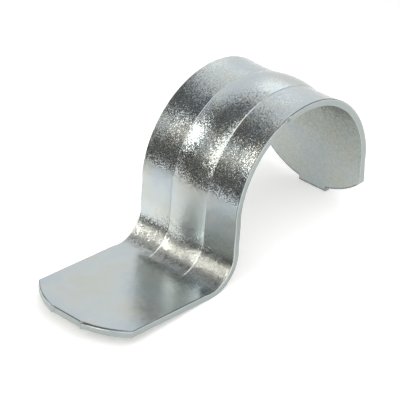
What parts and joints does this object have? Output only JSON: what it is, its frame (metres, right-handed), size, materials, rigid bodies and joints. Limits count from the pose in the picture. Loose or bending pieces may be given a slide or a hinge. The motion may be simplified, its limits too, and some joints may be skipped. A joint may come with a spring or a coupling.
{
  "type": "conduit strap",
  "caption": "One-sided pressed strap that arches over a round conduit, with a flat foot beside it and a shallow stiffening rib over the arch.",
  "frame": {"origin": "on the conduit's axis, in the middle of the strap's width", "axes": "+Y along the conduit, +Z away from the wall that the foot lies on, +X from the foot towards the free end"},
  "size_m": [0.0862, 0.03, 0.0413],
  "materials": {
    "zinc_plated_steel": "bright zinc plating with a clear, faintly blue and yellow passivation, on pressed steel strip"
  },
  "bodies": {
    "root": {"strap": "zinc_plated_steel"}
  },
  "joints": []
}
